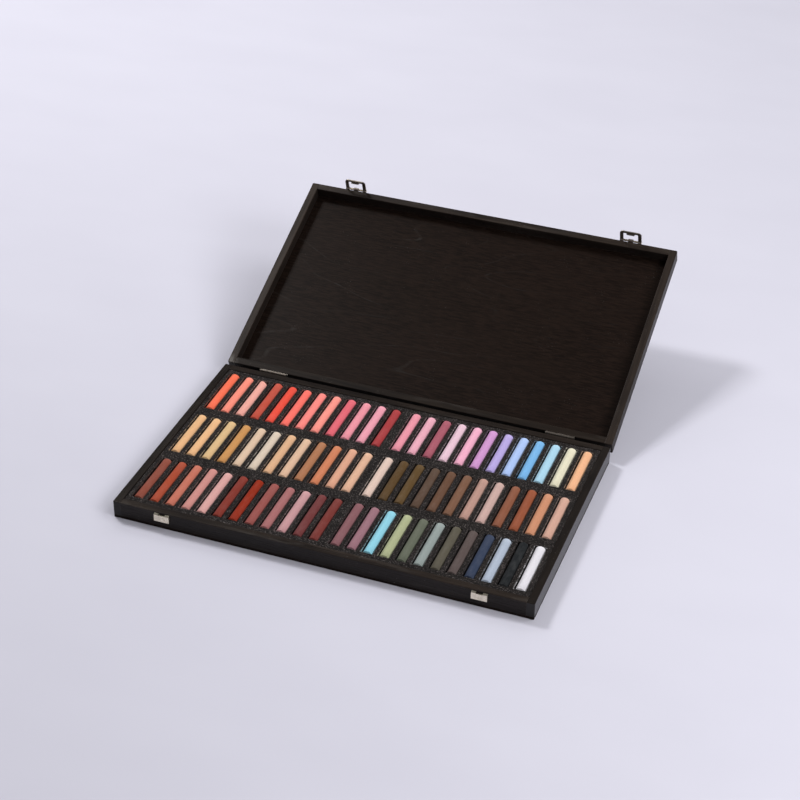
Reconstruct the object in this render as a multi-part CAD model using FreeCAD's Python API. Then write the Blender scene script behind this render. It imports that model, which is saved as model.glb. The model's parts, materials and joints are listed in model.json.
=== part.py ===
import FreeCAD, Part
import math
import os

# A shallow hinged wooden case for soft pastels, lid open, with six slotted foam blocks of twelve sticks.
# Millimetres and degrees. X runs left to right, Y front to back, Z up. The origin is the middle of the
# underside of the base. The lid and its fittings are drawn closed, then turned open about the hinge pins.

Vector = FreeCAD.Vector

# ---------------------------------------------------------------- sticks and foam
stick_diameter = 10.2
stick_length = 67.0
stick_edge = 0.5            # worn edge at each end of a stick
stick_proud = 1.7           # how far a stick stands above the foam
slots_per_block = 12
sticks_per_node = 3
block_columns = ("left", "right")
block_rows = ("front", "middle", "back")
slot_side_gap = 0.6         # foam to stick, each side
slot_end_gap = 0.8          # foam to stick, each end
slot_floor_gap = 0.25       # slot's floor to stick
slot_rib = 5.4              # foam between two slots
block_side_margin = 5.1     # foam beside the outer slots
block_end_margin = 6.8      # foam before and behind the slots
block_gap = 0.4             # between blocks, and between a block and the walls
block_seat_gap = 0.2        # bottom panel to block
foam_under_slots = 6.05
foam_below_rim = 0.8

# ---------------------------------------------------------------- boards
wall = 8.0
panel = 3.2
lid_cavity = 11.8
corner_radius = 1.2         # upright outer corners of the case
edge_round = 0.6            # worn long edges of the boards
rim_gap = 0.3               # between the two rims when the lid is shut

# ---------------------------------------------------------------- hinges
lid_open = 158.4            # how far the lid has turned open
hinge_inset = 55.0          # side of the case to the middle of a hinge
hinge_width = 30.5
leaf_height = 12.5          # from the hinge's axis
leaf_thickness = 0.7
hinge_knuckle_radius = 1.6
hinge_pin_radius = 0.7
hinge_axis_behind = 2.6     # back of the case to the axis
hinge_axis_below = 0.5      # rim of the base to the axis
hinge_knuckles = 5
hinge_nail_inset = 3.4      # end of a leaf to the middle of its nail
knuckle_gap = 0.15          # along the axis, between knuckles
bore_clearance = 0.05       # around a pin or a nail, on the radius

# ---------------------------------------------------------------- latches
latch_inset = 53.0          # side of the case to the middle of a latch
latch_pin_out = 1.8         # front of the lid to the pin
latch_pin_rise = 0.3        # rim of the lid to the pin
latch_pin_radius = 1.1
latch_knuckle_radius = 1.55
latch_knuckle_reach = 2.3   # pin to the far side of the plate's long knuckle
latch_knuckle_width = 5.4
latch_plate_width = 21.0
latch_plate_height = 10.5
latch_plate_thickness = 0.8
latch_plate_corner = 1.6
latch_nail_side = 2.9       # side of the plate to the middle of a nail
latch_nail_end = 2.3        # top or bottom of the plate to the middle of a nail
loop_width = 24.4
loop_length = 14.1          # pin to the outer edge of the loop's bar
loop_thickness = 1.2
loop_leg = 3.9
loop_bar = 2.6
loop_corner = 3.8
loop_window_corner = 1.0
loop_eye_radius = 1.65      # the legs' rolled ends, around the pin
loop_tilt = 3.5             # the resting loop leans this far off the wall
tongue_root = 9.6
tongue_tip = 8.4
tongue_neck = 0.9           # the tongue's flat part, from the bar to its bend
tongue_wall_gap = 0.4       # tip of the tongue to the base's front, latched

# ---------------------------------------------------------------- strikes
strike_width = 15.8
strike_thickness = 2.2
strike_lip = 0.5            # thickness left at the top of the sloping edge
strike_slope = 1.2          # height of the sloping edge
strike_below_rim = 1.2
strike_catch_gap = 0.4      # tongue to the strike's lower edge, latched
strike_notch_width = 6.8
strike_notch_depth = 1.6
strike_nail_side = 2.9      # side of the strike to the middle of a nail

# ---------------------------------------------------------------- nails
nail_radius = 0.6
nail_length = 6.0           # under the head
nail_head_radius = 1.3
nail_head_height = 0.4

# ---------------------------------------------------------------- drawing
overrun = 1.0               # how far a cutting shape runs past what it cuts
same = 1e-6                 # two lengths closer than this are one

# ---------------------------------------------------------------- sizes that follow
slot_width = stick_diameter + 2 * slot_side_gap
slot_length = stick_length + 2 * slot_end_gap
slot_depth = stick_diameter - stick_proud + slot_floor_gap
slot_pitch = slot_width + slot_rib
block_width = slots_per_block * slot_width + (slots_per_block - 1) * slot_rib + 2 * block_side_margin
block_depth = slot_length + 2 * block_end_margin
foam_thickness = slot_depth + foam_under_slots

inner_width = len(block_columns) * (block_width + block_gap) + block_gap
inner_depth = len(block_rows) * (block_depth + block_gap) + block_gap
case_width = inner_width + 2 * wall
case_depth = inner_depth + 2 * wall
foam_bottom = panel + block_seat_gap
foam_top = foam_bottom + foam_thickness
base_height = foam_top + foam_below_rim
lid_height = lid_cavity + panel
stick_axis_height = foam_top + stick_proud - stick_diameter / 2

front = -case_depth / 2
back = case_depth / 2
lid_rim = base_height + rim_gap
hinge_axis_y = back + hinge_axis_behind
hinge_axis_z = base_height - hinge_axis_below
hinge_axis = Vector(0, hinge_axis_y, hinge_axis_z)
opening_direction = Vector(-1, 0, 0)
hinge_places = {"left": hinge_inset - case_width / 2, "right": case_width / 2 - hinge_inset}

latch_places = {"left": latch_inset - case_width / 2, "right": case_width / 2 - latch_inset}
latch_pin_y = front - latch_pin_out
latch_pin_z = lid_rim + latch_pin_rise
tongue_reach = loop_length - loop_bar - tongue_neck
tongue_top = latch_pin_z - tongue_reach
strike_top = base_height - strike_below_rim
strike_bottom = tongue_top + strike_catch_gap


# ---------------------------------------------------------------- helpers
def block(x, y, z):
    """A box from three (low, high) pairs."""
    size = [high - low for low, high in (x, y, z)]
    return Part.makeBox(*size, Vector(x[0], y[0], z[0]))


def rod(radius, low, high, y, z):
    """A round bar along X."""
    return Part.makeCylinder(radius, high - low, Vector(low, y, z), Vector(1, 0, 0))


def edges_along(shape, axis, accept):
    """The shape's straight edges along one axis ('x', 'y' or 'z') whose middle point is accepted."""
    found = []
    for edge in shape.Edges:
        ends = [vertex.Point for vertex in edge.Vertexes]
        if len(ends) != 2:
            continue
        run = ends[1] - ends[0]
        if abs(abs(getattr(run, axis)) - run.Length) < same and accept(edge.CenterOfMass):
            found.append(edge)
    return found


def turned_open(shape):
    """A piece of the closed lid, moved to where it is with the lid open."""
    return shape.rotated(hinge_axis, opening_direction, lid_open)


def save(name, shape):
    shape.exportStep("parts/" + name + ".step")


def save_group(name, shapes):
    save(name, Part.makeCompound(shapes))


def nail(x, y, z, inward, head_out):
    """A round-headed nail along Y: the head's outer face is head_out past y, and the shank runs inward."""
    outward = -inward
    head_start = y + outward * (head_out - nail_head_height)
    direction = Vector(0, outward, 0)
    head = Part.makeCylinder(nail_head_radius, nail_head_height, Vector(x, head_start, z), direction)
    shank = Part.makeCylinder(nail_radius, nail_length, Vector(x, head_start, z), -direction)
    return head.fuse(shank).removeSplitter()


def nail_hole(x, y, z, inward, head_out):
    """What a nail takes out of the pieces that it goes through."""
    outward = -inward
    head_start = y + outward * (head_out - nail_head_height)
    direction = Vector(0, outward, 0)
    radius = nail_radius + bore_clearance
    shank = Part.makeCylinder(radius, nail_length + bore_clearance, Vector(x, head_start, z), -direction)
    head_radius = nail_head_radius + bore_clearance
    head = Part.makeCylinder(head_radius, nail_head_height + bore_clearance, Vector(x, head_start, z), direction)
    return head.fuse(shank)


# ---------------------------------------------------------------- where the nails go
def hinge_nail_places(side):
    """Along X, at each end of a leaf."""
    x = hinge_places[side]
    reach = hinge_width / 2 - hinge_nail_inset
    return [x - reach, x + reach]


leaf_nail_offset = (leaf_height + hinge_knuckle_radius) / 2
base_leaf_nails = [
    (x, back, hinge_axis_z - leaf_nail_offset, -1, leaf_thickness + nail_head_height)
    for side in hinge_places
    for x in hinge_nail_places(side)
]
lid_leaf_nails = [
    (x, back, hinge_axis_z + leaf_nail_offset, -1, leaf_thickness + nail_head_height)
    for side in hinge_places
    for x in hinge_nail_places(side)
]

latch_plate_low = latch_pin_z + loop_eye_radius + knuckle_gap
latch_plate_high = latch_plate_low + latch_plate_height
latch_nail_x = latch_plate_width / 2 - latch_nail_side
latch_nail_z = (latch_plate_low + latch_nail_end, latch_plate_high - latch_nail_end)
latch_plate_nails = [
    (x + dx, front, z, 1, latch_plate_thickness + nail_head_height)
    for x in latch_places.values()
    for dx in (-latch_nail_x, latch_nail_x)
    for z in latch_nail_z
]

strike_nail_x = strike_width / 2 - strike_nail_side
strike_nail_z = (strike_bottom + strike_top - strike_slope) / 2
strike_nails = [
    (x + dx, front, strike_nail_z, 1, strike_thickness)
    for x in latch_places.values()
    for dx in (-strike_nail_x, strike_nail_x)
]


# ---------------------------------------------------------------- boards of the base and the lid
def panel_board(low):
    """A full-size plywood panel with rounded corners and worn edges on its outer face."""
    board = block((-case_width / 2, case_width / 2), (front, back), (low, low + panel))
    board = board.makeFillet(corner_radius, edges_along(board, "z", lambda p: True))
    outer = 0 if low == 0 else low + panel
    rim = [edge for edge in board.Edges if abs(edge.CenterOfMass.z - outer) < same]
    return board.makeFillet(edge_round, rim)


def worn_rim(board, axis, rim):
    """A wall whose two long edges at the rim's height are worn round."""
    return board.makeFillet(edge_round, edges_along(board, axis, lambda p: abs(p.z - rim) < same))


def side_wall(side, low, high, rim):
    """A wall that runs the full depth, with rounded outer corners. side is -1 on the left, 1 on the right."""
    outer = side * case_width / 2
    board = block(sorted((outer, outer - side * wall)), (front, back), (low, high))
    corners = edges_along(board, "z", lambda p: abs(p.x - outer) < same)
    return worn_rim(board.makeFillet(corner_radius, corners), "y", rim)


def cross_wall(near, low, high, rim):
    """A wall between the two sides, from near to one wall's thickness behind it."""
    inner = case_width / 2 - wall
    return worn_rim(block((-inner, inner), (near, near + wall), (low, high)), "x", rim)


def frame_walls(low, high, rim):
    """The four walls of a frame: the sides run the full depth, the front and back sit between them."""
    return {
        "left_wall": side_wall(-1, low, high, rim),
        "right_wall": side_wall(1, low, high, rim),
        "front_wall": cross_wall(front, low, high, rim),
        "back_wall": cross_wall(back - wall, low, high, rim),
    }


def drilled(shape, nails):
    """A board or plate with a hole for each nail."""
    for place in nails:
        shape = shape.cut(nail_hole(*place))
    return shape


base_walls = frame_walls(panel, base_height, base_height)
base_walls["front_wall"] = drilled(base_walls["front_wall"], strike_nails)
base_walls["back_wall"] = drilled(base_walls["back_wall"], base_leaf_nails)
base_panel = panel_board(0)

lid_walls = frame_walls(lid_rim, lid_rim + lid_cavity, lid_rim)
lid_walls["front_wall"] = drilled(lid_walls["front_wall"], latch_plate_nails)
lid_walls["back_wall"] = drilled(lid_walls["back_wall"], lid_leaf_nails)
lid_panel = panel_board(lid_rim + lid_cavity)


# ---------------------------------------------------------------- hinges
def hinge_leaf(x, above):
    """One leaf: a plate on the back, and its own knuckles on bent tabs. above is 1 on the lid, -1 below."""
    low, high = x - hinge_width / 2, x + hinge_width / 2
    tab_start = hinge_axis_z + above * (hinge_knuckle_radius - leaf_thickness)
    tab_end = hinge_axis_z + above * hinge_knuckle_radius
    plate_end = hinge_axis_z + above * leaf_height
    leaf = block((low, high), (back, back + leaf_thickness), sorted((tab_start, plate_end)))
    pitch = hinge_width / hinge_knuckles
    first = 0 if above < 0 else 1
    for number in range(first, hinge_knuckles, 2):
        start = low + number * pitch + (knuckle_gap / 2 if number else 0)
        last = number == hinge_knuckles - 1
        end = low + (number + 1) * pitch - (0 if last else knuckle_gap / 2)
        leaf = leaf.fuse(block((start, end), (back, hinge_axis_y), sorted((tab_start, tab_end))))
        leaf = leaf.fuse(rod(hinge_knuckle_radius, start, end, hinge_axis_y, hinge_axis_z))
    bore = rod(hinge_pin_radius + bore_clearance, low - overrun, high + overrun, hinge_axis_y, hinge_axis_z)
    return leaf.cut(bore).removeSplitter()


def hinge_pin(x):
    return rod(hinge_pin_radius, x - hinge_width / 2, x + hinge_width / 2, hinge_axis_y, hinge_axis_z)


# ---------------------------------------------------------------- latches
def latch_plate(x):
    """The plate nailed to the lid, with one long knuckle on a bent tab at its middle."""
    half = latch_plate_width / 2
    depth = (front - latch_plate_thickness, front)
    plate = block((x - half, x + half), depth, (latch_plate_low, latch_plate_high))
    corners = edges_along(plate, "y", lambda p: p.z > latch_plate_low + same)
    plate = plate.makeFillet(latch_plate_corner, corners)
    half_knuckle = latch_knuckle_width / 2
    span = (x - half_knuckle, x + half_knuckle)
    tab_low = latch_pin_z + latch_knuckle_radius - latch_plate_thickness
    tab = block(span, (latch_pin_y, front), (tab_low, latch_pin_z + latch_knuckle_radius))
    strap = block(span, depth, (tab_low, latch_plate_low))
    far = latch_pin_z - latch_knuckle_reach + latch_knuckle_radius
    sides = (latch_pin_y - latch_knuckle_radius, latch_pin_y + latch_knuckle_radius)
    knuckle = [rod(latch_knuckle_radius, *span, latch_pin_y, z) for z in (far, latch_pin_z)]
    plate = plate.fuse([tab, strap, block(span, sides, (far, latch_pin_z))] + knuckle)
    bore = rod(latch_pin_radius + bore_clearance, x - half, x + half, latch_pin_y, latch_pin_z)
    return plate.cut(bore).removeSplitter()


def latch_tongue(x):
    """The tapered tongue that turns in from the loop's bar, under the strike, and its flat neck."""
    root_y = latch_pin_y
    lean = tongue_reach * math.sin(math.radians(loop_tilt))
    tip_y = front - tongue_wall_gap + lean
    low = tongue_top - loop_thickness
    corners = [
        Vector(x - tongue_root / 2, root_y, low),
        Vector(x + tongue_root / 2, root_y, low),
        Vector(x + tongue_tip / 2, tip_y, low),
        Vector(x - tongue_tip / 2, tip_y, low),
    ]
    outline = Part.makePolygon(corners + corners[:1])
    tongue = Part.Face(outline).extrude(Vector(0, 0, loop_thickness))
    span = (x - tongue_root / 2, x + tongue_root / 2)
    depth = (latch_pin_y - loop_thickness / 2, latch_pin_y + loop_thickness / 2)
    return tongue.fuse(block(span, depth, (latch_pin_z - loop_length + loop_bar, tongue_top)))


def latch_loop(x):
    """The swinging loop, drawn hanging straight down, then leaned off the wall by its resting tilt."""
    half = loop_width / 2
    depth = (latch_pin_y - loop_thickness / 2, latch_pin_y + loop_thickness / 2)
    low = latch_pin_z - loop_length
    loop = block((x - half, x + half), depth, (low, latch_pin_z))
    loop = loop.makeFillet(loop_corner, edges_along(loop, "y", lambda p: p.z < low + same))
    inner = half - loop_leg
    through = (depth[0] - overrun, depth[1] + overrun)
    window = block((x - inner, x + inner), through, (low + loop_bar, latch_pin_z + overrun))
    window = window.makeFillet(loop_window_corner, edges_along(window, "y", lambda p: p.z < latch_pin_z))
    loop = loop.cut(window).fuse(latch_tongue(x))
    for start, end in ((-half, -inner), (inner, half)):
        loop = loop.fuse(rod(loop_eye_radius, x + start, x + end, latch_pin_y, latch_pin_z))
    bore = rod(latch_pin_radius + bore_clearance, x - half - overrun, x + half + overrun, latch_pin_y, latch_pin_z)
    loop = loop.cut(bore).removeSplitter()
    return loop.rotated(Vector(x, latch_pin_y, latch_pin_z), opening_direction, loop_tilt)


def latch_pin(x):
    return rod(latch_pin_radius, x - loop_width / 2, x + loop_width / 2, latch_pin_y, latch_pin_z)


def strike(x):
    """The raised plate on the base: a sloping top edge with a notch for the latch plate's knuckle."""
    half = strike_width / 2
    profile = [
        Vector(x - half, front, strike_bottom),
        Vector(x - half, front - strike_thickness, strike_bottom),
        Vector(x - half, front - strike_thickness, strike_top - strike_slope),
        Vector(x - half, front - strike_lip, strike_top),
        Vector(x - half, front, strike_top),
    ]
    plate = Part.Face(Part.makePolygon(profile + profile[:1])).extrude(Vector(strike_width, 0, 0))
    notch_half = strike_notch_width / 2
    notch_low = strike_top - strike_notch_depth
    through = (front - strike_thickness - overrun, front + overrun)
    notch = block((x - notch_half, x + notch_half), through, (notch_low, strike_top + overrun))
    return drilled(plate.cut(notch), [n for n in strike_nails if abs(n[0] - x) < half])


# ---------------------------------------------------------------- foam blocks and sticks
def block_corner(column, row):
    """The low X and low Y of a foam block."""
    x = -inner_width / 2 + block_gap + column * (block_width + block_gap)
    y = -inner_depth / 2 + block_gap + row * (block_depth + block_gap)
    return x, y


def slot_middles(column, row):
    """The X of each slot's middle, and the Y that they share."""
    x, y = block_corner(column, row)
    first = x + block_side_margin + slot_width / 2
    return [first + number * slot_pitch for number in range(slots_per_block)], y + block_depth / 2


def foam_block(column, row):
    x, y = block_corner(column, row)
    foam = block((x, x + block_width), (y, y + block_depth), (foam_bottom, foam_top))
    middles, middle_y = slot_middles(column, row)
    span = (middle_y - slot_length / 2, middle_y + slot_length / 2)
    depth = (foam_top - slot_depth, foam_top + overrun)
    cuts = [block((middle - slot_width / 2, middle + slot_width / 2), span, depth) for middle in middles]
    return foam.cut(cuts)


def stick(x, y):
    start = Vector(x, y - stick_length / 2, stick_axis_height)
    shape = Part.makeCylinder(stick_diameter / 2, stick_length, start, Vector(0, 1, 0))
    rims = [edge for edge in shape.Edges if len(edge.Vertexes) == 1]
    return shape.makeFillet(stick_edge, rims)


# ---------------------------------------------------------------- write the pieces
os.makedirs("parts", exist_ok=True)

for wall_name, board in base_walls.items():
    save("base_" + wall_name, board)
save("base_bottom_panel", base_panel)

for wall_name, board in lid_walls.items():
    save("lid_" + wall_name, turned_open(board))
save("lid_top_panel", turned_open(lid_panel))

for side, x in hinge_places.items():
    own_base_nails = [n for n in base_leaf_nails if abs(n[0] - x) < hinge_width]
    own_lid_nails = [n for n in lid_leaf_nails if abs(n[0] - x) < hinge_width]
    save("hinge_" + side + "_base_leaf", drilled(hinge_leaf(x, -1), own_base_nails))
    save("hinge_" + side + "_lid_leaf", turned_open(drilled(hinge_leaf(x, 1), own_lid_nails)))
    save("hinge_" + side + "_pin", hinge_pin(x))

for side, x in latch_places.items():
    own_plate_nails = [n for n in latch_plate_nails if abs(n[0] - x) < latch_plate_width]
    save("latch_" + side + "_plate", turned_open(drilled(latch_plate(x), own_plate_nails)))
    save("latch_" + side + "_pin", turned_open(latch_pin(x)))
    save("latch_" + side + "_loop", turned_open(latch_loop(x)))
    save("strike_" + side, strike(x))

save_group("hinge_base_nails", [nail(*place) for place in base_leaf_nails])
save_group("hinge_lid_nails", [turned_open(nail(*place)) for place in lid_leaf_nails])
save_group("latch_plate_nails", [turned_open(nail(*place)) for place in latch_plate_nails])
save_group("strike_nails", [nail(*place) for place in strike_nails])

for column, column_name in enumerate(block_columns):
    for row, row_name in enumerate(block_rows):
        place = column_name + "_" + row_name
        save("foam_block_" + place, foam_block(column, row))
        middles, middle_y = slot_middles(column, row)
        for first in range(0, slots_per_block, sticks_per_node):
            sticks = [stick(x, middle_y) for x in middles[first:first + sticks_per_node]]
            save_group("pastels_" + place + "_" + str(first // sticks_per_node + 1), sticks)
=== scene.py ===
"""Finishes, pieces, floor, lights and camera for a hinged case of soft pastels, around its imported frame."""

import json
import math
import random

import bmesh
import bpy
from mathutils import Matrix, Vector


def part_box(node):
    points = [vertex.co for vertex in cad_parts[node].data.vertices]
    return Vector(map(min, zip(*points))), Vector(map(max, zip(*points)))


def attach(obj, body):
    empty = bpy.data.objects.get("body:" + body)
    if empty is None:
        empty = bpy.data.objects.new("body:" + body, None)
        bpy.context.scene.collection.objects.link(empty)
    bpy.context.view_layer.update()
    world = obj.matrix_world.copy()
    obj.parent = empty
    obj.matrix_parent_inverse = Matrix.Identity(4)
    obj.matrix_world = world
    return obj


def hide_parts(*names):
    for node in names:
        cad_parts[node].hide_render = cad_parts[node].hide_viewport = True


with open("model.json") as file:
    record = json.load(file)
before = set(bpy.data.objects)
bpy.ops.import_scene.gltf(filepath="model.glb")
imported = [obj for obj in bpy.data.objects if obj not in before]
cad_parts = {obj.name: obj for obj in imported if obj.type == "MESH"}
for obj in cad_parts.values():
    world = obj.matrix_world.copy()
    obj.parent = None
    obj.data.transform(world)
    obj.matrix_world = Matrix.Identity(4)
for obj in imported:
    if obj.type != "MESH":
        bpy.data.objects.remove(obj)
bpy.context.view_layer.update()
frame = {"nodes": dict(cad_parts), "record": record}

MM = 0.001
WHITE_SHADE = 100
LEFT, RIGHT = "left", "right"
COLUMNS = (LEFT, RIGHT)
ROWS = ("back", "middle", "front")
GROUPS_PER_BLOCK = 4
STICKS_PER_GROUP = 3
SLOTS_PER_BLOCK = GROUPS_PER_BLOCK * STICKS_PER_GROUP

# ---------------------------------------------------------------- pigments
# Each stick's pigment, as its shade looks under plain light: red, green and blue from 0 to 100.
PIGMENTS = {
    "vermilion": (98, 49, 36),
    "salmon": (98, 61, 53),
    "pale pink": (95, 71, 66),
    "brick": (79, 35, 28),
    "scarlet": (93, 35, 28),
    "coral": (98, 49, 44),
    "light coral": (98, 58, 55),
    "light salmon": (98, 63, 58),
    "rose": (90, 44, 49),
    "cool light pink": (93, 62, 67),
    "pale cool pink": (93, 66, 72),
    "crimson": (69, 26, 27),
    "mid rose": (92, 62, 68),
    "light pink": (92, 70, 76),
    "raspberry": (69, 38, 44),
    "very pale pink": (91, 79, 84),
    "bright pink": (94, 71, 80),
    "orchid": (83, 62, 82),
    "lavender": (74, 68, 88),
    "cornflower": (70, 79, 94),
    "azure": (50, 73, 90),
    "sky": (69, 84, 91),
    "pale primrose": (89, 87, 78),
    "apricot orange": (93, 73, 57),
    "naples yellow": (93, 76, 57),
    "light naples": (94, 77, 58),
    "straw": (89, 77, 58),
    "golden ochre": (83, 62, 38),
    "cream": (89, 79, 69),
    "off white": (88, 82, 75),
    "peach tan": (89, 73, 58),
    "pale peach": (89, 76, 65),
    "tan": (72, 50, 36),
    "sienna": (84, 54, 39),
    "apricot peach": (88, 68, 57),
    "light peach": (89, 73, 62),
    "pink white": (89, 80, 75),
    "dark olive": (38, 29, 18),
    "olive umber": (40, 31, 19),
    "grey umber": (38, 30, 25),
    "mid umber": (43, 31, 24),
    "brown": (51, 37, 29),
    "rose beige": (75, 60, 55),
    "pink beige": (81, 69, 66),
    "red brown": (57, 36, 27),
    "rust": (61, 34, 23),
    "light terracotta": (81, 58, 45),
    "pink peach": (83, 67, 60),
    "dull terracotta": (60, 33, 27),
    "terracotta": (71, 33, 23),
    "salmon terracotta": (81, 49, 41),
    "dusty pink": (84, 60, 57),
    "soft pink": (88, 69, 67),
    "dark brick": (56, 24, 20),
    "brick red": (62, 20, 11),
    "dusky rose": (64, 36, 34),
    "mauve rose": (70, 46, 46),
    "light mauve": (81, 63, 64),
    "maroon": (48, 25, 25),
    "maroon red": (51, 24, 22),
    "mauve plum": (57, 39, 41),
    "mauve": (64, 47, 51),
    "turquoise": (60, 84, 90),
    "yellow green": (71, 73, 58),
    "slate green": (42, 44, 38),
    "grey green": (61, 65, 64),
    "grey olive": (38, 36, 31),
    "taupe": (38, 33, 32),
    "navy": (23, 27, 36),
    "grey blue": (71, 75, 81),
    "blue black": (13, 14, 15),
    "white": (89, 88, 90),
}
STICK_ORDER = {
    "back": (
        "vermilion", "salmon", "pale pink", "brick", "scarlet", "coral",
        "light coral", "light salmon", "rose", "cool light pink", "pale cool pink", "crimson",
        "mid rose", "light pink", "raspberry", "very pale pink", "bright pink", "orchid",
        "lavender", "cornflower", "azure", "sky", "pale primrose", "apricot orange",
    ),
    "middle": (
        "naples yellow", "light naples", "straw", "golden ochre", "cream", "off white",
        "peach tan", "pale peach", "tan", "sienna", "apricot peach", "light peach",
        "pink white", "dark olive", "olive umber", "grey umber", "mid umber", "brown",
        "rose beige", "pink beige", "red brown", "rust", "light terracotta", "pink peach",
    ),
    "front": (
        "dull terracotta", "terracotta", "salmon terracotta", "dusty pink", "soft pink", "dark brick",
        "brick red", "dusky rose", "mauve rose", "light mauve", "maroon", "maroon red",
        "mauve plum", "mauve", "turquoise", "yellow green", "slate green", "grey green",
        "grey olive", "taupe", "navy", "grey blue", "blue black", "white",
    ),
}


def linear(shade):
    """A shade from 0 to 100 as the shader's linear value."""
    value = shade / WHITE_SHADE
    return value / 12.92 if value <= 0.04045 else ((value + 0.055) / 1.055) ** 2.4


def paint(shades):
    """A pigment's three shades as a linear colour."""
    return tuple(linear(shade) for shade in shades)


# ---------------------------------------------------------------- sizes read from the frame
joints = {joint["name"]: joint for joint in frame["record"]["behaviour"]["joints"]}
hinge_line = Vector(joints["lid_hinge"]["pos_m"])
lid_open = math.radians(-joints["lid_hinge"]["range_deg"][0])
base_low, panel_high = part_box("base_bottom_panel")
rim_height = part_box("base_front_wall")[1].z
left_wall_low, left_wall_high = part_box("base_left_wall")
wall = left_wall_high.x - left_wall_low.x


def lid_shut():
    """Turns the resting lid shut: the frame in which the lid's patterns are laid out."""
    turn = Matrix.Rotation(-lid_open, 4, Vector((-1, 0, 0)))
    return Matrix.Translation(hinge_line) @ turn @ Matrix.Translation(-hinge_line)


# ---------------------------------------------------------------- shader helpers
DUST_SPECKS = 800   # dust: specks in a metre, and patches of them in a metre
DUST_PATCHES = 45


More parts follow.
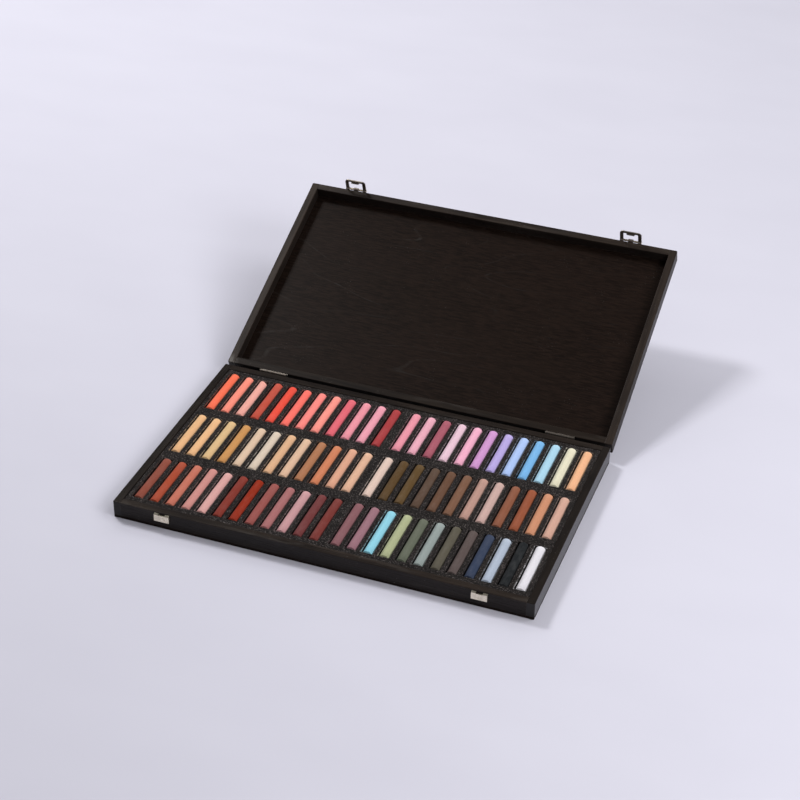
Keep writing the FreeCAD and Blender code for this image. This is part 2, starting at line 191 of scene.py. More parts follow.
class Recipe:
    """Builds one material's nodes."""

    def __init__(self, name):
        self.material = bpy.data.materials.new(name)
        self.material.use_nodes = True
        self.tree = self.material.node_tree
        self.shader = self.tree.nodes["Principled BSDF"]
        self.place = self.add("ShaderNodeTexCoord").outputs["Object"]

    def add(self, kind, **settings):
        """A new node with its settings."""
        node = self.tree.nodes.new(kind)
        for name, value in settings.items():
            setattr(node, name, value)
        return node

    def plug(self, socket, value):
        """A link where value is another node's output, and otherwise a plain value."""
        if isinstance(value, bpy.types.NodeSocket):
            self.tree.links.new(value, socket)
        else:
            socket.default_value = value

    def moved(self, matrix=None, stretch=(1, 1, 1)):
        """The piece's coordinates, through a rigid move and then a stretch."""
        here = self.place
        if matrix is not None:
            node = self.add("ShaderNodeMapping")
            self.plug(node.inputs["Vector"], here)
            node.inputs["Location"].default_value = matrix.to_translation()
            node.inputs["Rotation"].default_value = matrix.to_euler()
            here = node.outputs["Vector"]
        node = self.add("ShaderNodeMapping")
        self.plug(node.inputs["Vector"], here)
        node.inputs["Scale"].default_value = stretch
        return node.outputs["Vector"]

    def noise(self, at, scale, detail=3.0, roughness=0.55, distortion=0.0):
        """Clouded noise, with about scale patches in a metre."""
        node = self.add("ShaderNodeTexNoise")
        self.plug(node.inputs["Vector"], at)
        node.inputs["Scale"].default_value = scale
        node.inputs["Detail"].default_value = detail
        node.inputs["Roughness"].default_value = roughness
        node.inputs["Distortion"].default_value = distortion
        return node.outputs["Fac"]

    def contours(self, at, scale, count, thinness):
        """Thin curved lines, as growth rings show where a board or a veneer cuts across them."""
        height = self.noise(at, scale, 2.0, 0.45)
        wave = self.maths("SINE", self.product(height, count * math.pi))
        return self.span(wave, 1 - thinness, 1.0)

    def dust(self, at):
        """Fine pale specks that lie in patches."""
        specks = self.span(self.noise(at, DUST_SPECKS, 1.0, 0.5), 0.70, 0.78)
        patches = self.span(self.noise(at, DUST_PATCHES, 2.0), 0.50, 0.66, 0.0, 0.5)
        return self.product(specks, patches)

    def span(self, value, low, high, to_low=0.0, to_high=1.0):
        """value's range low..high carried to another range, and held there."""
        node = self.add("ShaderNodeMapRange")
        node.clamp = True
        self.plug(node.inputs["Value"], value)
        node.inputs["From Min"].default_value = low
        node.inputs["From Max"].default_value = high
        node.inputs["To Min"].default_value = to_low
        node.inputs["To Max"].default_value = to_high
        return node.outputs["Result"]

    def maths(self, kind, one, two=0.0):
        """One operation of arithmetic. Some kinds use only the first value."""
        node = self.add("ShaderNodeMath", operation=kind)
        self.plug(node.inputs[0], one)
        self.plug(node.inputs[1], two)
        return node.outputs["Value"]

    def product(self, one, two):
        """One value times the other."""
        return self.maths("MULTIPLY", one, two)

    def blend(self, share, one, two):
        """A colour between one and two."""
        node = self.add("ShaderNodeMix", data_type="RGBA")
        sockets = [socket for socket in node.inputs if socket.enabled]
        for socket, value in zip(sockets, (share, one, two)):
            if isinstance(value, tuple):
                value = (*value, 1.0)
            self.plug(socket, value)
        return next(socket for socket in node.outputs if socket.enabled)

    def near(self, at, place, reach):
        """1 at a place, falling to 0 at reach from it."""
        node = self.add("ShaderNodeVectorMath", operation="DISTANCE")
        self.plug(node.inputs[0], at)
        node.inputs[1].default_value = place
        return self.span(node.outputs["Value"], 0.0, reach, 1.0, 0.0)

    def axis(self, at, name):
        """One coordinate: X, Y or Z."""
        node = self.add("ShaderNodeSeparateXYZ")
        self.plug(node.inputs[0], at)
        return node.outputs[name]

    def edges(self, radius):
        """1 at sharp edges and 0 on flats."""
        bevel = self.add("ShaderNodeBevel", samples=6)
        bevel.inputs["Radius"].default_value = radius
        geometry = self.add("ShaderNodeNewGeometry")
        dot = self.add("ShaderNodeVectorMath", operation="DOT_PRODUCT")
        self.plug(dot.inputs[0], bevel.outputs["Normal"])
        self.plug(dot.inputs[1], geometry.outputs["Normal"])
        return self.span(dot.outputs["Value"], 1.0, 0.75)

    def bump(self, height, strength, distance):
        """A normal that makes a pattern look raised."""
        node = self.add("ShaderNodeBump")
        self.plug(node.inputs["Height"], height)
        node.inputs["Strength"].default_value = strength
        node.inputs["Distance"].default_value = distance
        return node.outputs["Normal"]

    def finish(self, colour, roughness, normal=None, **constants):
        """Plugs the patterns into the surface, sets its constants and hands over the material."""
        self.plug(self.shader.inputs["Base Color"], colour)
        self.plug(self.shader.inputs["Roughness"], roughness)
        if normal is not None:
            self.plug(self.shader.inputs["Normal"], normal)
        for name, value in constants.items():
            label = name.replace("_", " ").title().replace("Ior", "IOR")
            self.shader.inputs[label].default_value = value
        return self.material


# ---------------------------------------------------------------- finishes
# The lid's left corner at the hinges, where it has been knocked, and how far its scuffs reach.
SCUFFED_CORNER = Vector((base_low.x, panel_high.y, rim_height))
SCUFF_REACH = 1.6 * wall
SCUFF_COLOUR = (0.16, 0.15, 0.14)

# The stained wood's colours, and its patterns: patches in a metre, and the share of that along the grain.
BLACK_STAIN = (0.0082, 0.0062, 0.0056)
BROWN_STAIN = (0.0240, 0.0175, 0.0136)
RUBBED_STAIN = (0.060, 0.052, 0.047)
WORN_EDGE = (0.105, 0.088, 0.076)
WOOD_DUST = (0.17, 0.155, 0.15)
FIBRES, FIBRE_STRETCH = 1000, 0.04
STREAKS, STREAK_STRETCH = 150, 0.07
RUBS, RUB_STRETCH = 75, 0.18
SCRATCHES, SCRATCH_STRETCH = 330, 0.25
WOOD_CLOUDS = 11
EDGE_PATCHES = 130
EDGE_REACH = 0.8 * MM
RIM_DEPTHS = (0.7 * MM, 1.3 * MM)   # the rim's brown fades to the faces' between these distances from it
FACE_BROWN = 0.35                   # the share of the rim's brown that the faces have
FIBRE_HEIGHT = 0.06 * MM

# The stained veneer's colours, and its patterns in the same way.
DEEP_VENEER = (0.0100, 0.0063, 0.0050)
BROWN_VENEER = (0.0250, 0.0152, 0.0115)
VENEER_TONE = 0.58                  # darkens both of them
# the figure's pale lines: real grain, painted paler as sheen where the window's reflection falls on the lid's
# left
FIGURE_AND_SHEEN_PALE = (0.042, 0.036, 0.033)
VENEER_DUST = (0.12, 0.11, 0.105)
PORES, PORE_STRETCH = 620, 0.12
VENEER_CLOUDS, CLOUD_STRETCH = 24, 0.35
FIGURE, FIGURE_STRETCH = 10, 0.28
VENEER_IOR = 1.12
FIGURE_LINES = 26
FIGURE_THINNESS = 0.035
FIGURE_PATCHES = 19
FIGURE_SHEEN_FADE = (-0.05, 0.10)         # between these places, from left to right, the figure grows faint: its paleness on the left is painted sheen from the window's reflection
PORE_HEIGHT = 0.08 * MM


def toned(colour, tone):
    """A colour made darker or paler."""
    return tuple(tone * value for value in colour)


def grain_stretch(grain, share):
    """A stretch that draws a pattern out along the grain."""
    return tuple(share if axis == grain else 1.0 for axis in "XYZ")


def stained_wood(name, shut, grain, tone, rubbing, roughness, ior):
    """Black-stained board with its grain along one axis: brown, rubbed streaks on its rim, few elsewhere.

    shut lays the pattern out on the shut lid.
    """
    recipe = Recipe(name)
    plain = recipe.moved(shut)

    def along_grain(scale, stretch, *more):
        return recipe.noise(recipe.moved(shut, grain_stretch(grain, stretch)), scale, *more)

    fibres = along_grain(FIBRES, FIBRE_STRETCH, 3.0, 0.65)
    streaks = along_grain(STREAKS, STREAK_STRETCH, 4.0, 0.6, 0.4)
    cloud = recipe.noise(plain, WOOD_CLOUDS, 3.0, 0.55)
    black = toned(BLACK_STAIN, tone)
    brown = toned(BROWN_STAIN, tone)
    off_rim = recipe.maths("ABSOLUTE", recipe.maths("SUBTRACT", recipe.axis(plain, "Z"), rim_height))
    rim = recipe.span(off_rim, *RIM_DEPTHS, 1.0, FACE_BROWN)
    colour = recipe.blend(recipe.product(recipe.span(streaks, 0.34, 0.68), rim), black, brown)
    colour = recipe.blend(recipe.product(recipe.span(cloud, 0.35, 0.65, 0.0, 0.35), rim), colour, brown)
    colour = recipe.blend(recipe.span(fibres, 0.50, 0.72, 0.0, 0.55), colour, black)
    rubs = recipe.span(along_grain(RUBS, RUB_STRETCH, 3.0, 0.6), 0.54, 0.70, 0.0, rubbing)
    colour = recipe.blend(recipe.product(rubs, rim), colour, RUBBED_STAIN)
    worn_places = recipe.span(recipe.noise(plain, EDGE_PATCHES, 3.0), 0.45, 0.66)
    wear = recipe.product(recipe.edges(EDGE_REACH), worn_places)
    colour = recipe.blend(recipe.span(wear, 0.0, 1.0, 0.0, 0.45), colour, WORN_EDGE)
    if shut:
        scratches = recipe.span(along_grain(SCRATCHES, SCRATCH_STRETCH, 2.0), 0.44, 0.58)
        scuffed = recipe.product(recipe.near(plain, SCUFFED_CORNER, SCUFF_REACH), scratches)
        colour = recipe.blend(scuffed, colour, SCUFF_COLOUR)
    colour = recipe.blend(recipe.dust(plain), colour, WOOD_DUST)
    rough = recipe.span(fibres, 0.3, 0.75, roughness, roughness + 0.08)
    normal = recipe.bump(fibres, 0.12, FIBRE_HEIGHT)
    return recipe.finish(colour, rough, normal, ior=ior)


def stained_veneer(name, shut=None):
    """Black-stained veneer with its grain across: an even brown black, short pores, and a pale arching
    figure, painted paler on the left as the window's sheen.
    """
    recipe = Recipe(name)
    plain = recipe.moved(shut)
    pores = recipe.noise(recipe.moved(shut, grain_stretch("X", PORE_STRETCH)), PORES, 3.0, 0.7)
    cloud = recipe.noise(recipe.moved(shut, grain_stretch("X", CLOUD_STRETCH)), VENEER_CLOUDS, 3.0, 0.6)
    deep = toned(DEEP_VENEER, VENEER_TONE)
    brown = toned(BROWN_VENEER, VENEER_TONE)
    colour = recipe.blend(recipe.span(pores, 0.38, 0.62), brown, deep)
    colour = recipe.blend(recipe.span(cloud, 0.35, 0.65, 0.0, 0.30), colour, brown)
    drawn = recipe.moved(shut, grain_stretch("X", FIGURE_STRETCH))
    figure = recipe.contours(drawn, FIGURE, FIGURE_LINES, FIGURE_THINNESS)
    figure_shown_with_sheen = recipe.span(recipe.noise(plain, FIGURE_PATCHES, 2.0), 0.42, 0.62, 0.0, 0.42)
    # painted sheen: the figure shows most on the lid's left, near the window
    figure_shown_with_sheen = recipe.product(figure_shown_with_sheen, recipe.span(recipe.axis(plain, "X"), *FIGURE_SHEEN_FADE, 1.0, 0.2))
    figure = recipe.product(recipe.product(figure, figure_shown_with_sheen), recipe.span(pores, 0.42, 0.58))
    colour = recipe.blend(figure, colour, FIGURE_AND_SHEEN_PALE)
    colour = recipe.blend(recipe.dust(plain), colour, VENEER_DUST)
    rough = recipe.span(pores, 0.3, 0.7, 0.37, 0.45)
    normal = recipe.bump(pores, 0.2, PORE_HEIGHT)
    return recipe.finish(colour, rough, normal, ior=VENEER_IOR)


# Plated metal: patches and scratches in a metre.
METAL_CLOUDS = 420
METAL_SCRATCHES = 2600
METAL_DULL = 0.72
METAL_EDGE = 0.35 * MM
SCRATCH_HEIGHT = 0.05 * MM


def nickel(name, tone, worn, roughness):
    """Plated steel: tone on its flats, a paler tone at its edges for wear and for a painted highlight, with
    fine scratches and dull patches.
    """
    recipe = Recipe(name)
    cloud = recipe.noise(recipe.moved(), METAL_CLOUDS, 4.0, 0.6)
    scratches = recipe.noise(recipe.moved(None, (0.15, 1.0, 1.0)), METAL_SCRATCHES, 3.0, 0.7)
    colour = recipe.blend(recipe.span(cloud, 0.35, 0.7), tone, toned(tone, METAL_DULL))
    # the edges take the edge tone: wear, and on the dark nickel a painted highlight along the clasps' bars
    colour = recipe.blend(recipe.edges(METAL_EDGE), colour, worn)
    mixed = recipe.maths("ADD", cloud, scratches)
    rough = recipe.span(mixed, 0.7, 1.3, roughness - 0.08, roughness + 0.16)
    normal = recipe.bump(scratches, 0.12, SCRATCH_HEIGHT)
    return recipe.finish(colour, rough, normal, metallic=1.0)


# Pressed chalk: patches and grains in a metre.
CHALK_CLOUDS = 230
CHALK_GRAINS = 1300
CHALK_PALE = (0.93, 0.045)            # rubbed: this share of the pigment, and this much white
CHALK_DEEP = 0.80                     # on the grains: this share of the pigment
CHALK_HEIGHT = 0.10 * MM


def chalk(name, pigment):
    """A dusty stick of soft pastel: its pigment, a fine pressed grain and slightly paler rubbed patches."""
    recipe = Recipe(name)
    base = paint(pigment)
    kept, lifted = CHALK_PALE
    pale = tuple(kept * value + lifted for value in base)
    cloud = recipe.noise(recipe.moved(None, (1.0, 0.4, 1.0)), CHALK_CLOUDS, 3.0, 0.6)
    grain = recipe.noise(recipe.moved(), CHALK_GRAINS, 3.0, 0.7)
    colour = recipe.blend(recipe.span(cloud, 0.40, 0.70, 0.0, 0.55), base, pale)
    colour = recipe.blend(recipe.span(grain, 0.48, 0.72, 0.0, 0.55), colour, toned(base, CHALK_DEEP))
    rough = recipe.span(grain, 0.3, 0.7, 0.85, 1.0)
    normal = recipe.bump(grain, 0.30, CHALK_HEIGHT)
    return recipe.finish(colour, rough, normal, diffuse_roughness=1.0, specular_ior_level=0.2)


# Foam: its three blacks, the grey of its dust, and cells, pits, patches and smears in a metre.
FOAM_PIT = (0.0050, 0.0042, 0.0040)
FOAM_BLACK = (0.0125, 0.0106, 0.0102)
FOAM_PALE = (0.018, 0.0152, 0.0148)
FOAM_DUST = (0.125, 0.108, 0.104)
FOAM_CELLS = 760
FOAM_PITS = 1300
FOAM_CLOUDS = 60
FOAM_SMEARS = 430
CELL_DEPTH = 0.35 * MM


def foam_rubber():
    """Black open foam whose cut cells catch grey dust, stained by the sticks where they lie against it."""
    recipe = Recipe("dusty black foam")
    plain = recipe.moved()
    cells = recipe.noise(plain, FOAM_CELLS, 2.0, 0.6)
    pits = recipe.noise(plain, FOAM_PITS, 1.0, 0.5)
    cloud = recipe.noise(plain, FOAM_CLOUDS, 3.0, 0.6)
    colour = recipe.blend(recipe.span(pits, 0.35, 0.65), FOAM_PIT, FOAM_BLACK)
    colour = recipe.blend(recipe.span(cloud, 0.40, 0.70, 0.0, 0.4), colour, FOAM_PALE)
    specks = recipe.product(recipe.span(cells, 0.55, 0.68), recipe.span(cloud, 0.3, 0.6, 0.5, 1.0))
    colour = recipe.blend(specks, colour, FOAM_DUST)
    stain = recipe.add("ShaderNodeVertexColor", layer_name="stain")
    smears = recipe.span(recipe.noise(plain, FOAM_SMEARS, 2.0, 0.6), 0.44, 0.58, 0.1, 1.0)
    colour = recipe.blend(recipe.product(stain.outputs["Alpha"], smears), colour, stain.outputs["Color"])
    normal = recipe.bump(cells, 0.5, CELL_DEPTH)
    return recipe.finish(colour, 0.95, normal, specular_ior_level=0.2)


# The floor: its two greys, its clouds in a metre and its width in metres.
FLOOR_DEEP = (0.570, 0.561, 0.640)
FLOOR_PALE = (0.587, 0.578, 0.657)
FLOOR_CLOUDS = 9
FLOOR_SIZE = 12


def pale_floor():
    """Smooth lavender-grey paper."""
    recipe = Recipe("lavender grey paper")
    cloud = recipe.noise(recipe.moved(None, (0.5, 1.0, 1.0)), FLOOR_CLOUDS, 2.0)
    colour = recipe.blend(recipe.span(cloud, 0.3, 0.7), FLOOR_DEEP, FLOOR_PALE)
    return recipe.finish(colour, 0.85, specular_ior_level=0.1)


def dress(node, material):
    """Gives a CAD node its finish."""
    slots = frame["nodes"][node].data.materials
    slots.clear()
    slots.append(material)


# ---------------------------------------------------------------- modelling helpers
def only(piece):
    """Makes a piece the one that the next operators work on."""
    bpy.ops.object.select_all(action="DESELECT")
    piece.select_set(True)
    bpy.context.view_layer.objects.active = piece


def settle(piece, name, material):
    """Names a piece, applies its place, turn and size, and gives it its finish."""
    only(piece)
    piece.name = name
    piece.data.name = name
    bpy.ops.object.transform_apply(location=True, rotation=True, scale=True)
    piece.data.materials.clear()
    piece.data.materials.append(material)
    return piece


def edit(piece):
    """Enters edit mode on a piece with nothing selected."""
    only(piece)
    bpy.ops.object.mode_set(mode="EDIT")
    bpy.ops.mesh.select_all(action="DESELECT")


def leave_edit():
    """Goes back to object mode."""
    bpy.ops.object.mode_set(mode="OBJECT")


def choose_faces(piece, accept):
    """In edit mode, selects only the faces whose middle and normal are accepted."""
    bpy.ops.mesh.select_mode(type="FACE")
    mesh = bmesh.from_edit_mesh(piece.data)
    for face in mesh.faces:
        face.select_set(accept(face.calc_center_median(), face.normal))
    bmesh.update_edit_mesh(piece.data)


def cut_across(axis, places):
    """In edit mode, cuts the whole mesh by planes square to an axis."""
    normal = Vector((axis == "X", axis == "Y", axis == "Z"))
    for place in places:
        bpy.ops.mesh.select_all(action="SELECT")
        bpy.ops.mesh.bisect(plane_co=normal * place, plane_no=normal)


def apply_modifier(piece, kind, **settings):
    """Adds one modifier with its settings and makes it part of the mesh."""
    only(piece)
    modifier = piece.modifiers.new(kind.lower(), kind)
    for name, value in settings.items():
        setattr(modifier, name, value)
    bpy.ops.object.modifier_apply(modifier=modifier.name)


UNEVEN_STEP = (0.137, 0.071, 0.213)   # in metres: how far one unit of seed moves the unevenness


def uneven(piece, size, strength, seed):
    """Gives a surface a slight unevenness."""
    texture = bpy.data.textures.new(piece.name + " unevenness", "CLOUDS")
    texture.noise_scale = size
    texture.noise_depth = 2
    empty = bpy.data.objects.new(piece.name + " offset", None)
    bpy.context.collection.objects.link(empty)
    empty.location = tuple(seed * step for step in UNEVEN_STEP)
    bpy.context.view_layer.update()
    apply_modifier(piece, "DISPLACE", texture=texture, strength=strength, mid_level=0.5,
                   texture_coords="OBJECT", texture_coords_object=empty)
    bpy.data.objects.remove(empty)


# ---------------------------------------------------------------- sticks
def group_name(column, row, group):
    """The node that holds a group of neighbouring sticks."""
    return f"pastels_{column}_{row}_{group + 1}"


def stick_places(column, row):
    """The middle of each of a block's twelve sticks, their thickness and their length."""
    places = []
    for group in range(GROUPS_PER_BLOCK):
        low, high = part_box(group_name(column, row, group))
        thickness = high.z - low.z
        step = (high.x - low.x - thickness) / (STICKS_PER_GROUP - 1)
        for number in range(STICKS_PER_GROUP):
            x = low.x + thickness / 2 + number * step
            places.append(Vector((x, (low.y + high.y) / 2, (low.z + high.z) / 2)))
    return places, thickness, high.y - low.y


STICK_SIDES = 36
STICK_RINGS = 9
STICK_SEED = 7
CLEARANCE = 0.12 * MM                 # kept off the radius for the sticks' unevenness
CAP_SIZE = 0.90                       # the flat end, as a share of the full radius
SHOULDER_SIZE = 0.96                  # just behind the flat end
SHOULDER_SHARE = 0.2                  # of the worn length
MOST_SHORT = 0.8                      # in millimetres, as are the next two: how much a stick has lost,
WORN_ENDS = (0.35, 0.8)               # how far along it each end is worn,
MOST_BOW = 0.25                       # and how far its middle bows to a side
RING_VARIATION = 0.008                # share by which its thickness varies
MOST_BUMP_SEED = 9
STICK_BUMP_SIZE, STICK_BUMP_HEIGHT = 3.5 * MM, 0.20 * MM
STICK_SHARP = math.radians(50)
BROKEN_ENDS = {("back", 2): math.radians(19)}


def model_stick(name, middle, thickness, length, material, chance, broken):
    """One pressed stick: a rod drawn out ring by ring, a little bent and uneven, with crisp worn ends."""
    radius = thickness / 2 - CLEARANCE
    short = chance.uniform(0, MOST_SHORT) * MM
    reach = (length - short) / 2
    middle = middle - Vector((0, short / 2, 0))
    bpy.ops.object.select_all(action="DESELECT")
    bpy.ops.mesh.primitive_circle_add(vertices=STICK_SIDES, radius=CAP_SIZE * radius, fill_type="NGON",
                                      location=middle + Vector((0, -reach, 0)), rotation=(math.pi / 2, 0, 0))
    stick = settle(bpy.context.object, name, material)
    edit(stick)
    bpy.ops.mesh.select_all(action="SELECT")
    front_worn, back_worn = [chance.uniform(*WORN_ENDS) * MM for _ in range(2)]
    end = 2 * reach
    barrel = end - (front_worn + back_worn)
    rings = [(SHOULDER_SHARE * front_worn, SHOULDER_SIZE), (front_worn, 1.0)]
    rings += [(front_worn + barrel * (ring + 1) / STICK_RINGS, 1.0) for ring in range(STICK_RINGS)]
    rings += [(end - SHOULDER_SHARE * back_worn, SHOULDER_SIZE), (end, CAP_SIZE)]
    bow = chance.uniform(-MOST_BOW, MOST_BOW) * MM
    last_stop, last_size, last_bow = 0.0, CAP_SIZE, 0.0
    for stop, size in rings:
        new_bow = bow * math.sin(math.pi * stop / end)
        size *= 1 + chance.uniform(-RING_VARIATION, RING_VARIATION)
        bpy.ops.mesh.extrude_region_move(
            TRANSFORM_OT_translate={"value": (new_bow - last_bow, stop - last_stop, 0)})
        centre = middle + Vector((new_bow, stop - reach, 0))
        bpy.ops.transform.resize(value=(size / last_size,) * 3, center_override=centre)
        last_stop, last_size, last_bow = stop, size, new_bow
    bpy.ops.mesh.select_all(action="SELECT")
    if broken:
        corner = middle + Vector((-radius, reach - back_worn, 0))
        bpy.ops.mesh.bisect(plane_co=corner, plane_no=(math.sin(broken), math.cos(broken), 0),
                            use_fill=True, clear_outer=True)
        bpy.ops.mesh.select_all(action="SELECT")
    bpy.ops.mesh.normals_make_consistent(inside=False)
    leave_edit()
    uneven(stick, STICK_BUMP_SIZE, STICK_BUMP_HEIGHT, chance.uniform(0, MOST_BUMP_SEED))
    bpy.ops.object.shade_smooth_by_angle(angle=STICK_SHARP)
    return stick


def lay_sticks():
    """Fills the slots, row by row and from left to right, with the pigments in their order."""
    chance = random.Random(STICK_SEED)
    for row in ROWS:
        for side, column in enumerate(COLUMNS):
            places, thickness, length = stick_places(column, row)
            for number, middle in enumerate(places):
                along_row = side * SLOTS_PER_BLOCK + number
                pigment = STICK_ORDER[row][along_row]
                material = chalk(pigment + " pastel", PIGMENTS[pigment])
                name = f"stick_{row}_{along_row + 1:02d}"
                broken = BROKEN_ENDS.get((row, along_row))
                stick = model_stick(name, middle, thickness, length, material, chance, broken)
                node = group_name(column, row, number // STICKS_PER_GROUP)
                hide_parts(node)
                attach(stick, node)


# ---------------------------------------------------------------- foam
SLOT_LEFT_GAP = 0.95 * MM             # between a stick and its slot: on its left,
SLOT_RIGHT_GAP = 0.35 * MM            # on its right
SLOT_END_GAP = 0.45 * MM              # and at its ends
SLOT_DEPTH = 8.75 * MM
SLOT_STATIONS = 47                    # steps along a slot, so that its lips can be ragged
LIP = 0.40 * MM                       # rounding of a slot's lips
DUST_REACH = 0.75 * MM                # a dusty band round each slot: its width
DUST_DEPTH = 1.1 * MM                 # and how far it goes down into the slot
SEAM = 0.17 * MM                      # how far a block reaches towards its neighbours, to close the seams
STAIN_EDGE = 0.2 * MM                 # the stain stops this far inside the dusty band
STAIN_PURITY = 0.65                   # how much of the pigment's colour the stain keeps
STAIN_LEAST, STAIN_GAIN = 0.12, 0.45  # its strength for black, and how much more for white
RIGHT_LIP_SHARE = 0.5                 # the lip on a stick's right has this share of the stain
FOAM_BUMP_SIZE, FOAM_BUMP_HEIGHT = 1.5 * MM, 0.45 * MM
FOAM_SEED = 3
FOAM_SHARP = math.radians(40)
FACES_UP = 0.9                        # faces whose normal rises more than this count as the top


def slot_offset(places, x, thickness):
    """Which slot x is nearest to, and how far x lies outside it: below zero inside the slot."""
    nearest = min(range(len(places)), key=lambda number: abs(places[number].x - x))
    aside = x - places[nearest].x
    gap = SLOT_LEFT_GAP if aside < 0 else SLOT_RIGHT_GAP
    return nearest, aside, abs(aside) - thickness / 2 - gap


def stain_slots(foam, places, thickness, slot_reach, pigments, top):
    """Rubs the colour of each stick onto its slot's lips, pale colours most."""
    layer = foam.data.color_attributes.new("stain", "FLOAT_COLOR", "POINT")
    for vertex, rubbed in zip(foam.data.vertices, layer.data):
        nearest, aside, outside = slot_offset(places, vertex.co.x, thickness)
        away = max(outside, abs(vertex.co.y - places[nearest].y) - slot_reach)
        pigment = PIGMENTS[pigments[nearest]]
        green = pigment[1]
        colour = paint([STAIN_PURITY * shade + (1 - STAIN_PURITY) * green for shade in pigment])
        strength = 0.0
        if away < DUST_REACH - STAIN_EDGE and vertex.co.z > top - DUST_DEPTH / 2:
            side_share = 1.0 if aside < 0 else RIGHT_LIP_SHARE
            strength = (STAIN_LEAST + STAIN_GAIN * colour[1]) * side_share
        rubbed.color = (*colour, strength)


def choose_lips(foam, places, thickness, slot_reach, top):
    """In edit mode, selects the edges round the mouth of each slot."""
    bpy.ops.mesh.select_mode(type="EDGE")
    mesh = bmesh.from_edit_mesh(foam.data)
    near = 0.01 * MM
    for edge in mesh.edges:
        one, two = (vertex.co for vertex in edge.verts)
        middle = (one + two) / 2
        outside = slot_offset(places, middle.x, thickness)[2]
        along = abs(middle.y - places[0].y) - slot_reach
        level = one.z > top - near and two.z > top - near
        on_side = abs(outside) < near and along < near and abs(one.x - two.x) < near
        on_end = abs(along) < near and outside < near and abs(one.y - two.y) < near
        edge.select_set(level and (on_side or on_end))
    bmesh.update_edit_mesh(foam.data)


def model_foam(column, row, material):
    """A block of foam, cut by planes, with its slots pushed in and their lips rubbed round and ragged."""
    node = f"foam_block_{column}_{row}"
    low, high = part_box(node)
    low = low - Vector((SEAM * (column == RIGHT), SEAM * (row != "front"), 0))
    high = high + Vector((SEAM * (column == LEFT), SEAM * (row != "back"), 0))
    places, thickness, length = stick_places(column, row)
    slot_reach = length / 2 + SLOT_END_GAP
    middle_y = places[0].y
    top = high.z
    bpy.ops.object.select_all(action="DESELECT")
    bpy.ops.mesh.primitive_cube_add(size=1, location=(low + high) / 2, scale=high - low)
    foam = settle(bpy.context.object, "foam_" + column + "_" + row, material)
    edit(foam)
    for side, gap in ((-1, SLOT_LEFT_GAP), (1, SLOT_RIGHT_GAP)):
        edge = thickness / 2 + gap
        cut_across("X", [place.x + side * edge for place in places])
        cut_across("X", [place.x + side * (edge + DUST_REACH) for place in places])
        cut_across("Y", [middle_y + side * (slot_reach + DUST_REACH)])
    stations = range(SLOT_STATIONS + 1)
    cut_across("Y", [middle_y + slot_reach * (2 * station / SLOT_STATIONS - 1) for station in stations])

    def in_slot(place, normal):
        return (normal.z > FACES_UP and abs(place.y - middle_y) < slot_reach
                and slot_offset(places, place.x, thickness)[2] < 0)

    choose_faces(foam, in_slot)
    for drop in (DUST_DEPTH, SLOT_DEPTH - DUST_DEPTH):
        bpy.ops.mesh.extrude_region_move(TRANSFORM_OT_translate={"value": (0, 0, -drop)})
    bpy.ops.mesh.select_all(action="DESELECT")
    choose_lips(foam, places, thickness, slot_reach, top)
    bpy.ops.mesh.bevel(offset=LIP, segments=2, affect="EDGES")
    leave_edit()
    uneven(foam, FOAM_BUMP_SIZE, FOAM_BUMP_HEIGHT, FOAM_SEED + places[0].x / MM)
    names = STICK_ORDER[row][COLUMNS.index(column) * SLOTS_PER_BLOCK:][:SLOTS_PER_BLOCK]
    stain_slots(foam, places, thickness, slot_reach, names, top)
    bpy.ops.object.shade_smooth_by_angle(angle=FOAM_SHARP)
    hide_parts(node)
    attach(foam, node)


# ---------------------------------------------------------------- build
# Each wall's grain, tone, share of rubbed streaks, lowest roughness and index of refraction.
WALLS = {
    "base_front_wall": ("X", 1.15, 0.60, 0.25, 1.25),
    "base_back_wall": ("X", 0.88, 0.30, 0.25, 1.25),
    "base_left_wall": ("Y", 0.68, 0.10, 0.25, 1.30),
    "base_right_wall": ("Y", 0.72, 0.10, 0.19, 1.36),
    "lid_front_wall": ("X", 1.30, 0.35, 0.34, 1.19),
    "lid_back_wall": ("X", 0.88, 0.35, 0.38, 1.14),
    "lid_left_wall": ("Y", 1.55, 0.15, 0.38, 1.16),
    "lid_right_wall": ("Y", 1.58, 0.15, 0.36, 1.19),
}


# Each metal's tone on its flats, its tone at its edges (wear, and on the dark nickel mostly a painted
# highlight) and its roughness.
METALS = {
    "bright nickel": ((0.88, 0.80, 0.64), (0.94, 0.88, 0.76), 0.30),
    "dull nickel": ((0.25, 0.215, 0.185), (0.50, 0.45, 0.40), 0.42),
    "brassy pin": ((0.78, 0.66, 0.48), (0.88, 0.78, 0.62), 0.30),
    # its pale edge tone is a painted highlight on the clasps' dark bars, more than wear
    "dark nickel": ((0.38, 0.33, 0.28), (0.90, 0.80, 0.68), 0.38),
}


def dress_frame():
    """The wooden boards and the metal fittings keep their CAD shapes."""
    shut = lid_shut()
    for name, looks in WALLS.items():
        layout = shut if name.startswith("lid") else None
        dress(name, stained_wood(name.replace("_", " ") + " board", layout, *looks))
    dress("base_bottom_panel", stained_veneer("base veneer"))
    dress("lid_top_panel", stained_veneer("lid veneer", shut))
    bright, dull, brass, dark = [nickel(name, *looks) for name, looks in METALS.items()]
    for side in COLUMNS:
        for name in ("hinge_{}_base_leaf", "hinge_{}_lid_leaf", "hinge_{}_pin"):
            dress(name.format(side), dull)
        dress(f"latch_{side}_pin", brass)
        dress(f"strike_{side}", bright)
        for name in ("latch_{}_plate", "latch_{}_loop"):
            dress(name.format(side), dark)
    for name in ("hinge_base_nails", "hinge_lid_nails", "latch_plate_nails", "strike_nails"):
        dress(name, bright)


def lay_foam():
    """One block in each row of each column."""
    material = foam_rubber()
    for column in COLUMNS:
        for row in ROWS:
            model_foam(column, row, material)


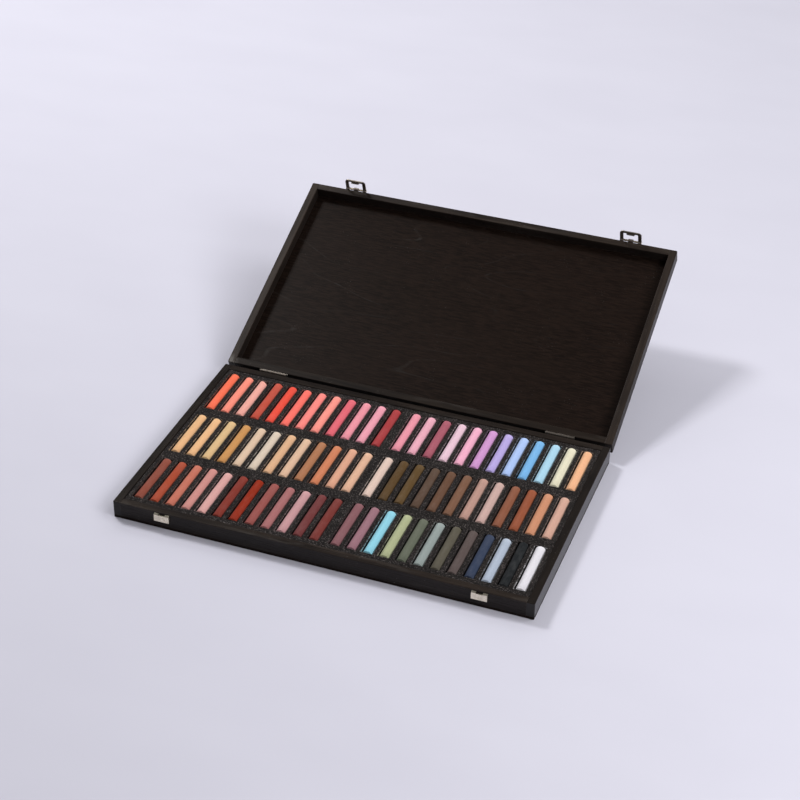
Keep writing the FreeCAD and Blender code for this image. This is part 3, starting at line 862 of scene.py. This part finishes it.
# ---------------------------------------------------------------- floor, lights and camera
def make_floor():
    """A wide pale floor under the case."""
    bpy.ops.object.select_all(action="DESELECT")
    bpy.ops.mesh.primitive_plane_add(size=FLOOR_SIZE, location=(0, 0, base_low.z))
    floor = settle(bpy.context.object, "floor", pale_floor())


def soft_light(name, place, target, width, watts, mirrored):
    """A square lamp. One that isn't mirrored lights the case without a reflection of its own in it."""
    data = bpy.data.lights.new(name, "AREA")
    data.size = width
    data.energy = watts
    lamp = bpy.data.objects.new(name, data)
    bpy.context.collection.objects.link(lamp)
    lamp.location = place
    lamp.rotation_mode = "QUATERNION"
    lamp.rotation_quaternion = (Vector(target) - Vector(place)).to_track_quat("-Z", "Y")
    lamp.visible_glossy = mirrored


# Each lamp's place, aim, width and power, and whether it is mirrored. Metres and watts.
CASE_MIDDLE = (0.0, 0.05, 0.0)
LAMPS = {
    "window on the left": ((-1.72, 0.86, 2.24), CASE_MIDDLE, 0.52, 44, True),
    "lamp on the right": ((1.20, -0.35, 0.98), CASE_MIDDLE, 0.50, 8.6, False),
    "screen in front right": ((3.2, -2.2, 2.6), CASE_MIDDLE, 1.5, 34, True),
    "panel behind left": ((-1.2, 1.4, 1.5), (-0.4, 0.5, 0.0), 1.0, 10, False),
    "panel behind": ((0.2, 2.4, 1.6), (0.0, 0.6, 0.0), 1.6, 13, False),
    "ceiling panel right": ((1.6, 0.6, 2.2), (0.4, 0.0, 0.0), 1.4, 26, False),
}
ROOM_COLOUR = (0.96, 0.96, 1.0, 1)
ROOM_STRENGTH = 0.125


def light_the_room():
    """A window for the shadow, softer lamps that fill it in, and a faintly lit room."""
    for name, looks in LAMPS.items():
        soft_light(name, *looks)
    world = bpy.data.worlds.new("pale room")
    world.use_nodes = True
    background = world.node_tree.nodes["Background"]
    background.inputs["Color"].default_value = ROOM_COLOUR
    background.inputs["Strength"].default_value = ROOM_STRENGTH
    bpy.context.scene.world = world


CAMERA_PLACE = Vector((555.7, -1454.2, 1162.7)) * MM
CAMERA_AZIMUTH = math.radians(19.756)
CAMERA_ELEVATION = math.radians(34.113)
CAMERA_ROLL = math.radians(0.925)
CAMERA_LENS = 87.12
CAMERA_SENSOR = 36
CAMERA_CLIP = (0.05, 50)


def make_camera():
    """Looks down on the case from the front right, turned a little about its own axis."""
    azimuth, elevation = CAMERA_AZIMUTH, CAMERA_ELEVATION
    forward = Vector((-math.sin(azimuth) * math.cos(elevation), math.cos(azimuth) * math.cos(elevation),
                      -math.sin(elevation)))
    right = forward.cross(Vector((0, 0, 1))).normalized()
    up = right.cross(forward)
    turned_right = right * math.cos(CAMERA_ROLL) + up * math.sin(CAMERA_ROLL)
    turned_up = up * math.cos(CAMERA_ROLL) - right * math.sin(CAMERA_ROLL)
    data = bpy.data.cameras.new("camera")
    data.lens = CAMERA_LENS
    data.sensor_width = CAMERA_SENSOR
    data.clip_start, data.clip_end = CAMERA_CLIP
    camera = bpy.data.objects.new("camera", data)
    bpy.context.collection.objects.link(camera)
    columns = Matrix((turned_right, turned_up, -forward)).transposed().to_4x4()
    camera.matrix_world = Matrix.Translation(CAMERA_PLACE) @ columns
    bpy.context.scene.camera = camera


dress_frame()
lay_foam()
lay_sticks()
make_floor()
light_the_room()
make_camera()
bpy.context.scene.view_settings.view_transform = "Standard"
